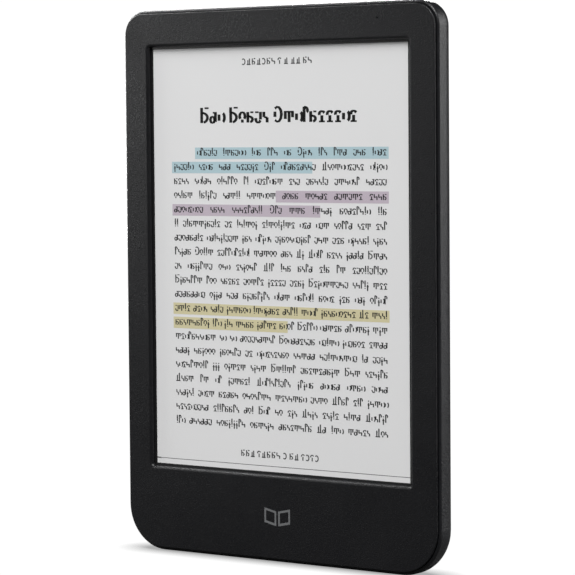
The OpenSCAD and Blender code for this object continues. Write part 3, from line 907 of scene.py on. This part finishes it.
# Marks that stand for letters without being any: each is a width and its strokes, in
# units of the low marks' height. A stroke is a run of points, or an arc given as
# (middle x, middle z, x radius, z radius, first angle, last angle).
MARKS = [
    (0.98, [[(0.2, 0), (0.2, 1)], (0.2, 0.3, 0.55, 0.3, 90, -60), [(0.5, 0.97), (0.86, 0.97)]]),
    (0.9, [[(0.72, 0.28), (0.72, 1)], (0.44, 0.42, 0.3, 0.42, 180, 330),
           [(0.08, 0.97), (0.5, 0.97)]]),
    (0.8, [[(0.22, 0.5), (0.22, 1)], [(0.22, 0.52), (0.62, 0.44)], [(0.6, 0), (0.6, 0.46)]]),
    (1.36, [[(0.1, 0.97), (1.26, 0.97)], [(0.26, 0.3), (0.26, 0.97)], [(0.7, 0), (0.7, 0.97)],
            [(1.1, 0.45), (1.1, 0.97)]]),
    (0.62, [[(0.3, -0.38), (0.3, 0.7)], [(0.08, 0.35), (0.56, 0.35)], [(0.3, 0.92), (0.3, 1.1)]]),
    (0.95, [(0.36, 0.3, 0.26, 0.3, 0, 360), [(0.72, 0.1), (0.72, 1)], [(0.4, 0.97), (0.9, 0.97)]]),
    (0.84, [(0.5, 0.5, 0.36, 0.48, 60, -60), [(0.2, 0.2), (0.2, 0.8)]]),
    (0.92, [[(0.16, 0.03), (0.84, 0.03)], [(0.5, 0.03), (0.5, 0.6)],
            (0.5, 0.72, 0.3, 0.26, 200, 20)]),
    (0.56, [[(0.28, 0.3), (0.28, 1.42)], [(0.28, 0), (0.28, 0.14)], [(0.1, 0.97), (0.28, 0.97)]]),
    (1.0, [[(0.2, 0.4), (0.2, 1)], [(0.76, 0), (0.76, 0.6)], [(0.2, 0.42), (0.76, 0.58)]]),
    (0.8, [[(0.24, 0), (0.24, 1.42)], (0.24, 1.1, 0.4, 0.3, 90, -40)]),
    (0.9, [(0.44, 0.6, 0.32, 0.38, -40, 220), [(0.44, 0), (0.44, 0.3)]]),
]
TALL_MARKS = [
    (1.2, [[(0.25, 0), (0.25, 1.46)], (0.25, 0.5, 0.7, 0.48, 90, -70),
           [(0.6, 1.42), (1.1, 1.42)]]),
    (1.25, [[(0.1, 0.03), (1.1, 0.03)], [(0.4, 0.03), (0.4, 1.1)],
            [(0.84, 0.03), (0.84, 1.46)]]),
    (1.15, [(0.5, 0.75, 0.46, 0.7, 130, -130), [(0.2, 0.5), (0.2, 1)]]),
]
CAPS = [
    (0.95, [[(0.2, 0), (0.2, 1)], (0.2, 0.3, 0.5, 0.28, 90, -60), [(0.5, 0.97), (0.82, 0.97)]]),
    (0.95, [(0.4, 0.5, 0.36, 0.47, 130, -130)]),
    (0.9, [[(0.15, 0.5), (0.15, 1)], [(0.15, 0.52), (0.7, 0.45)], [(0.7, 0), (0.7, 0.47)]]),
    (1.0, [[(0.1, 0.03), (0.9, 0.03)], [(0.35, 0.03), (0.35, 0.75)], [(0.68, 0.03), (0.68, 1)]]),
    (0.8, [[(0.4, 0), (0.4, 0.6)], (0.4, 0.72, 0.3, 0.26, 200, 20)]),
]
ARC_STEPS = 8


def stroke_points(stroke):
    """The points of a stroke, with arcs worked out."""
    if isinstance(stroke, list):
        return stroke
    cx, cz, rx, rz, first, last = stroke
    angles = [math.radians(first + (last - first) * k / ARC_STEPS) for k in range(ARC_STEPS + 1)]
    return [(cx + rx * math.cos(a), cz + rz * math.sin(a)) for a in angles]


# The low marks' height, then the strokes' widths and the gap between marks
Pen = namedtuple("Pen", ("height", "thin", "thick", "gap"))


def cut_pen(height, thin, thick, gap):
    """A pen whose widths and gap are given as shares of its height."""
    return Pen(height, thin * height, thick * height, gap * height)


def word_width(word, pen):
    """Width of a word in that pen."""
    return sum(mark[0] * pen.height for mark in word) + pen.gap * (len(word) - 1)


def draw_words(plates, words, left, base, pen, space):
    """Draws mock words in a row, with that space between them."""
    x = left
    for word in words:
        for width, strokes in word:
            for stroke in strokes:
                points = stroke_points(stroke)
                points = [(x + px * pen.height, base + pz * pen.height) for px, pz in points]
                plates.stroke(points, pen.thin, pen.thick)
            x += width * pen.height + pen.gap
        x += space - pen.gap


def draw_centred(plates, words, base, pen, space):
    """Draws mock words in a row about the page's middle."""
    total = sum(word_width(word, pen) for word in words) + space * (len(words) - 1)
    draw_words(plates, words, (PAGE_LEFT + PAGE_RIGHT) / 2 - total / 2, base, pen, space)


def random_word(dice, marks, length, tall=False):
    """A word of that many marks, the first one tall if asked."""
    word = [dice.choice(marks) for _ in range(length)]
    if tall:
        word[0] = dice.choice(TALL_MARKS)
    return word


WORD_LENGTHS = (2, 2, 3, 3, 3, 4, 4, 4, 5, 5, 6, 6, 7, 8, 9, 10)
TALL_CHANCE = 0.08
LEAST_SPACE = 0.56
TITLE_SPACE = 0.52
HEADER_SPACE = 0.4
TITLE_LENGTHS = (3, 5, 10)
HEADER_LENGTHS = (7, 1, 1, 2, 2)
FOOTER_LENGTHS = (3, 5, 1, 2, 4)
HEADER_HEIGHT = 1.75 * MM
TITLE_INK = (0.006, 0.006, 0.006)
HEADER_INK = (0.05, 0.051, 0.052)
LINE_INK = (0.12, 0.122, 0.124)


def fill_line(dice, width, pen):
    """Words for one line, as many as fit, and the space left between them."""
    least_space = LEAST_SPACE * pen.height
    words = []
    used = 0.0
    while True:
        length = dice.choice(WORD_LENGTHS)
        word = random_word(dice, MARKS, length, dice.random() < TALL_CHANCE)
        extra = word_width(word, pen) + (least_space if words else 0.0)
        if used + extra > width:
            break
        words.append(word)
        used += extra
    inked = sum(word_width(word, pen) for word in words)
    return words, (width - inked) / (len(words) - 1)


# ---------------------------------------------------------------- operators: pieces


class READER_OT_case_finish(Operator):
    """Finishes of the bezel, the cover, the button, the mark and the light pipe"""

    bl_idname = "reader.case_finish"
    bl_label = "Case finish"

    def execute(self, context):
        dress(("bezel_plastic", "cover_plastic", "button_plastic", "printed_mark", "light_pipe"))
        return {"FINISHED"}


class READER_OT_display_finish(Operator):
    """Finishes of the display's layers, from the film back to the foam"""

    bl_idname = "reader.display_finish"
    bl_label = "Display finish"

    def execute(self, context):
        dress(("display_film", "black_print", "gasket_foam", "light_guide", "lamp_strip"))
        dress(("paper_laminate", "backplane_glass"))
        return {"FINISHED"}


class READER_OT_inner_finish(Operator):
    """Finishes of the chassis, the board, the cables, the battery and the screws"""

    bl_idname = "reader.inner_finish"
    bl_label = "Inner finish"

    def execute(self, context):
        dress(("midframe_alloy", "flat_cable", "antenna_film", "socket_plastic"))
        dress(("latch_plastic", "board_laminate", "plated_steel", "screw_steel"))
        dress(("chip_resin", "coil_ferrite", "capacitor_ceramic", "cable_jacket"))
        dress(("lead_jacket", "led_lens", "mounting_tape", "cell_foil"))
        return {"FINISHED"}


class READER_OT_port_finish(Operator):
    """Finishes of the charging port's tongue and seal"""

    bl_idname = "reader.port_finish"
    bl_label = "Port finish"

    def execute(self, context):
        dress(("tongue_plastic", "seal_rubber"))
        return {"FINISHED"}


class READER_OT_page_text(Operator):
    """Mock text of the page: lines of marks that stand for words"""

    bl_idname = "reader.page_text"
    bl_label = "Page text"

    def execute(self, context):
        page = context.scene.reader_page
        dice = random.Random(page.seed)
        plates = Plates(0.0, 2 * page.ink_depth)
        left = (PAGE_LEFT + PAGE_RIGHT - page.text_width) / 2
        pen = cut_pen(page.x_height, thin=0.14, thick=0.245, gap=-0.05)
        for row in range(page.line_count):
            indent = page.indent if row == 0 else 0.0
            words, space = fill_line(dice, page.text_width - indent, pen)
            base = PAGE_TOP - page.first_line - row * page.line_pitch - pen.height / 2
            draw_words(plates, words, left + indent, base, pen, space)
        ink = page_print("page_ink", tuple(context.scene.reader_finish.ink_color))
        plates.add("page_text", ink, "black_print")
        return {"FINISHED"}


class READER_OT_page_title(Operator):
    """Mock title, header and footer of the page"""

    bl_idname = "reader.page_title"
    bl_label = "Title, header and footer"

    def execute(self, context):
        page = context.scene.reader_page
        dice = random.Random(page.seed + 1)
        title = Plates(0.0, 2 * page.ink_depth)
        words = [random_word(dice, MARKS, length, True) for length in TITLE_LENGTHS]
        pen = cut_pen(page.title_height, thin=0.16, thick=0.34, gap=0.0)
        draw_centred(title, words, PAGE_TOP - page.title_base, pen, TITLE_SPACE * pen.height)
        black = page_print("title_ink", TITLE_INK)
        title.add("page_title", black, "black_print")
        small = Plates(0.0, 2 * page.ink_depth)
        pen = cut_pen(HEADER_HEIGHT, thin=0.17, thick=0.21, gap=0.06)
        header = (page.header_base, HEADER_LENGTHS)
        footer = (page.footer_base, FOOTER_LENGTHS)
        for base, lengths in (header, footer):
            words = [random_word(dice, CAPS, length) for length in lengths]
            draw_centred(small, words, PAGE_TOP - base, pen, HEADER_SPACE * pen.height)
        grey = page_print("header_ink", HEADER_INK)
        small.add("page_header_and_footer", grey, "black_print")
        return {"FINISHED"}


class READER_OT_page_highlights(Operator):
    """Coloured washes over some of the lines"""

    bl_idname = "reader.page_highlights"
    bl_label = "Highlights"

    def execute(self, context):
        page = context.scene.reader_page
        colors = context.scene.reader_finish
        left = (PAGE_LEFT + PAGE_RIGHT - page.text_width) / 2
        right = left + page.text_width
        spill = 0.6 * MM
        unevenness = 0.05
        half_height = 1.68 * MM
        drop = 0.1 * MM
        # Each row of a wash: its line, and the shares of the text's width where it runs
        washes = {
            "teal": [(0, page.indent / page.text_width, 1.0), (1, 0.0, 0.655)],
            "mauve": [(3, 0.5, 1.0), (4, 0.0, 0.69)],
            "straw": [(11, 0.0, 1.0), (12, 0.0, 0.535)],
        }
        for name, rows in washes.items():
            plates = Plates(0.0, page.ink_depth)
            for row, first, last in rows:
                middle = PAGE_TOP - page.first_line - row * page.line_pitch - drop
                x0 = left + first * (right - left) - spill
                x1 = left + last * (right - left) + spill
                plates.box(x0, middle - half_height, x1, middle + half_height)
            wash = page_print(name + "_wash", tuple(getattr(colors, name)), unevenness)
            plates.add("page_wash_" + name, wash, "display_film")
        return {"FINISHED"}


class READER_OT_progress_line(Operator):
    """Thin progress line along the foot of the page, with a bolder start"""

    bl_idname = "reader.progress_line"
    bl_label = "Progress line"

    def execute(self, context):
        page = context.scene.reader_page
        plates = Plates(0.0, page.ink_depth)
        middle = PAGE_TOP - page.progress_line
        done = PAGE_LEFT + 1.5 * MM
        half_thin = 0.09 * MM
        half_bold = 0.2 * MM
        plates.box(done, middle - half_thin, PAGE_RIGHT, middle + half_thin)
        plates.box(PAGE_LEFT, middle - half_bold, done, middle + half_bold)
        grey = page_print("line_ink", LINE_INK)
        plates.add("page_progress_line", grey, "black_print")
        return {"FINISHED"}


class READER_OT_port_contacts(Operator):
    """Gilt contacts on both faces of the port's tongue"""

    bl_idname = "reader.port_contacts"
    bl_label = "Port contacts"

    def execute(self, context):
        count = 12
        pitch = 0.5 * MM
        size = Vector((0.3, 0.04, 3.2)) * MM
        inset = 0.25 * MM
        half_thickness = 0.35 * MM
        rounding = 0.012 * MM
        mid_y = (TONGUE_LOW.y + TONGUE_HIGH.y) / 2
        mid_z = TONGUE_LOW.z + size.z / 2 + inset
        mesh = bmesh.new()
        for face in (-1, 1):
            for k in range(count):
                x = (k - (count - 1) / 2) * pitch
                place = Vector((x, mid_y + face * half_thickness, mid_z))
                made = bmesh.ops.create_cube(mesh, size=1.0)
                bmesh.ops.scale(mesh, vec=size, verts=made["verts"])
                bmesh.ops.translate(mesh, vec=place, verts=made["verts"])
        edges = mesh.edges[:]
        bmesh.ops.bevel(mesh, geom=edges, offset=rounding, segments=2, affect="EDGES")
        data = bpy.data.meshes.new("port_contacts")
        mesh.to_mesh(data)
        mesh.free()
        gilt = metal("contact_gilt", CONTACT_COLOR, stretch=8.0)
        add_piece("port_contacts", data, gilt)
        return {"FINISHED"}


# ---------------------------------------------------------------- operator: stage


# Pale to the camera, dim to everything else, so the black mouldings mirror a dark room
DIM_SKY = 0.015
PALE_SKY = 1.05
DIM_FLOOR = (0.08, 0.08, 0.08, 1.0)
FLOOR_HALF = 6.0
FLOOR_DROP = 0.05 * MM
SHADE_REACH = 10 * MM


def make_world():
    """White for the camera; for the object, dim surroundings."""
    world = bpy.data.worlds.new("studio")
    net = fresh_net(world)
    seen = net.add("ShaderNodeLightPath").outputs["Is Camera Ray"]
    strength = net.remap(seen, 0.0, 1.0, DIM_SKY, PALE_SKY)
    background = net.add("ShaderNodeBackground", Strength=strength, Color=WHITE)
    net.add("ShaderNodeOutputWorld", Surface=background.outputs["Background"])
    bpy.context.scene.world = world


def make_floor():
    """White emissive floor for the camera, with a painted contact shadow that darkens it close to
    what stands on it, and dim where the object mirrors it.
    """
    material = bpy.data.materials.new("studio_floor")
    net = fresh_net(material)
    # Painted contact shadow: ambient occlusion lowers the floor's emission near the object, not a
    # shadow cast by the lights
    painted_shadow_occlusion = net.add("ShaderNodeAmbientOcclusion", {"samples": 24}, Distance=SHADE_REACH)
    tone = net.remap(painted_shadow_occlusion.outputs["AO"], 0.45, 0.95, 0.42, 1.03)
    pale = net.add("ShaderNodeEmission", Color=WHITE, Strength=tone)
    dim = net.add("ShaderNodeBsdfDiffuse", Color=DIM_FLOOR)
    seen = net.add("ShaderNodeLightPath").outputs["Is Camera Ray"]
    either = net.add("ShaderNodeMixShader")
    net.feed(either.inputs[0], seen)
    net.feed(either.inputs[1], dim.outputs[0])
    net.feed(either.inputs[2], pale.outputs[0])
    net.add("ShaderNodeOutputMaterial", Surface=either.outputs[0])
    mesh = bpy.data.meshes.new("floor")
    corners = [(-1, -1), (1, -1), (1, 1), (-1, 1)]
    height = CAD_LOW.z - FLOOR_DROP
    points = [(x * FLOOR_HALF, y * FLOOR_HALF, height) for x, y in corners]
    mesh.from_pydata(points, [], [(0, 1, 2, 3)])
    mesh.materials.append(material)
    add_object("floor", mesh)


# Each softbox: where it stands, what it looks at, its width and height, its power's setting
MIDDLE = (0.0, 0.0, 0.09)
SOFTBOXES = {
    "key_softbox": ((0.85, -1.15, 2.1), MIDDLE, 1.1, 1.1, "key_power"),
    "left_softbox": ((-0.37, -0.3, 0.19), (-0.05, 0.0, 0.15), 0.2, 0.2, "left_power"),
    "right_softbox": ((0.95, 0.4, 0.3), MIDDLE, 0.5, 0.6, "right_power"),
    "back_softbox": ((1.1, 1.0, 0.5), MIDDLE, 1.0, 0.8, "back_power"),
    "rear_softbox": ((-1.1, 1.3, 0.35), MIDDLE, 0.8, 0.8, "rear_power"),
    "edge_softbox": ((-1.0, 0.0, 0.8), MIDDLE, 0.6, 0.6, "edge_power"),
}
CAMERA_AIM = Vector((2.8, -2.5, 79.4)) * MM


def add_softbox(name, place, aim, width, height, power):
    """A rectangular soft light that looks from place at aim."""
    data = bpy.data.lights.new(name, "AREA")
    data.shape = "RECTANGLE"
    data.size = width
    data.size_y = height
    data.energy = power
    light = add_object(name, data)
    light.location = place
    light.rotation_mode = "QUATERNION"
    light.rotation_quaternion = (Vector(aim) - Vector(place)).to_track_quat("-Z", "Y")


def add_camera(stage):
    """Camera at its angle round the reader, looking close to its middle."""
    a, e = stage.azimuth, stage.elevation
    back = Vector((math.sin(a) * math.cos(e), -math.cos(a) * math.cos(e), math.sin(e)))
    place = Matrix.Translation(CAMERA_AIM + back * stage.distance)
    turn = (-back).to_track_quat("-Z", "Y").to_matrix().to_4x4()
    data = bpy.data.cameras.new("camera")
    data.lens = stage.lens
    data.clip_start = 0.01
    camera = add_object("camera", data)
    camera.matrix_world = place @ turn @ Matrix.Rotation(stage.roll, 4, "Z")
    bpy.context.scene.camera = camera


class READER_OT_stage(Operator):
    """Pale floor, soft lights and the camera"""

    bl_idname = "reader.stage"
    bl_label = "Stage"

    def execute(self, context):
        stage = context.scene.reader_stage
        context.scene.view_settings.view_transform = "Standard"
        make_world()
        make_floor()
        for name, (place, aim, width, height, power) in SOFTBOXES.items():
            add_softbox(name, place, aim, width, height, getattr(stage, power))
        add_camera(stage)
        return {"FINISHED"}


# ---------------------------------------------------------------- panel


STEPS = (
    "case_finish",
    "display_finish",
    "inner_finish",
    "port_finish",
    "page_text",
    "page_title",
    "page_highlights",
    "progress_line",
    "port_contacts",
    "stage",
)


class READER_PT_panel(Panel):
    """Lists what dresses the reader"""

    bl_label = "Reader"
    bl_idname = "READER_PT_panel"
    bl_space_type = "VIEW_3D"
    bl_region_type = "UI"
    bl_category = "Reader"

    def draw(self, context):
        for settings in (
            context.scene.reader_page,
            context.scene.reader_finish,
            context.scene.reader_stage,
        ):
            box = self.layout.box()
            for name in settings.bl_rna.properties.keys():
                if name not in ("name", "rna_type"):
                    box.prop(settings, name)
        for step in STEPS:
            self.layout.operator("reader." + step)


CLASSES = (
    PageSettings,
    FinishSettings,
    StageSettings,
    READER_OT_case_finish,
    READER_OT_display_finish,
    READER_OT_inner_finish,
    READER_OT_port_finish,
    READER_OT_page_text,
    READER_OT_page_title,
    READER_OT_page_highlights,
    READER_OT_progress_line,
    READER_OT_port_contacts,
    READER_OT_stage,
    READER_PT_panel,
)


def register():
    for cls in CLASSES:
        bpy.utils.register_class(cls)
    bpy.types.Scene.reader_page = PointerProperty(type=PageSettings)
    bpy.types.Scene.reader_finish = PointerProperty(type=FinishSettings)
    bpy.types.Scene.reader_stage = PointerProperty(type=StageSettings)


def unregister():
    del bpy.types.Scene.reader_stage
    del bpy.types.Scene.reader_finish
    del bpy.types.Scene.reader_page
    for cls in reversed(CLASSES):
        bpy.utils.unregister_class(cls)


def main():
    """Dresses the frame in order."""
    register()
    build_groups()
    for step in STEPS:
        getattr(bpy.ops.reader, step)()


if __name__ == "__main__":
    main()
